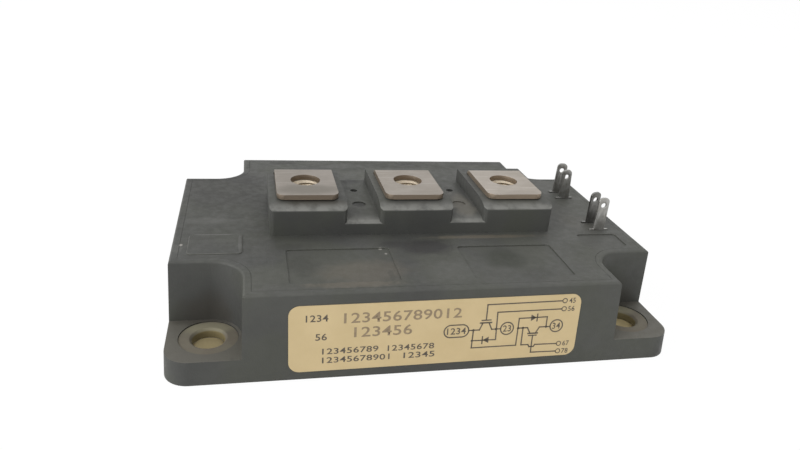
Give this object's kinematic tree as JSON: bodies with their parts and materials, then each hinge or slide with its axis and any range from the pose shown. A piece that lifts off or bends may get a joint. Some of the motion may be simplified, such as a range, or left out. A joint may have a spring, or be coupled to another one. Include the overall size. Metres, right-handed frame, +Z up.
{
  "type": "IGBT power module",
  "caption": "Half-bridge power module in a grey case with screw terminals along the middle and push-on signal tabs at one end.",
  "frame": {"origin": "centre of the underside", "axes": "+X along the length with the signal tabs at the +X end, +Y towards the long side away from the label, +Z up from the mounting surface"},
  "size_m": [0.11, 0.08, 0.0277],
  "materials": {
    "housing": "matte",
    "label": "matte",
    "plated_copper": "satin",
    "steel": "satin",
    "tinned": "satin",
    "bush": "satin",
    "copper": "satin",
    "ceramic": "matte",
    "silicon": "gloss",
    "aluminium": "satin",
    "gel": "gloss",
    "resin": "gloss"
  },
  "bodies": {
    "root": {"base_plate": "plated_copper", "case_frame": "housing", "lid": "housing", "terminal_block": "housing", "bush_front_left": "bush", "bush_front_right": "bush", "bush_rear_left": "bush", "bush_rear_right": "bush", "terminal_left": "plated_copper", "terminal_middle": "plated_copper", "terminal_right": "plated_copper", "nut_left": "steel", "nut_middle": "steel", "nut_right": "steel", "tab_front_outer": "tinned", "tab_front_inner": "tinned", "tab_rear_inner": "tinned", "tab_rear_outer": "tinned", "signal_leads": "tinned", "left_back_foil": "copper", "left_ceramic": "ceramic", "left_tracks": "copper", "right_back_foil": "copper", "right_ceramic": "ceramic", "right_tracks": "copper", "left_transistors": "silicon", "right_transistors": "silicon", "left_diodes": "silicon", "right_diodes": "silicon", "left_bond_wires": "aluminium", "right_bond_wires": "aluminium", "gel": "gel", "resin": "resin", "label": "label"}
  },
  "joints": []
}
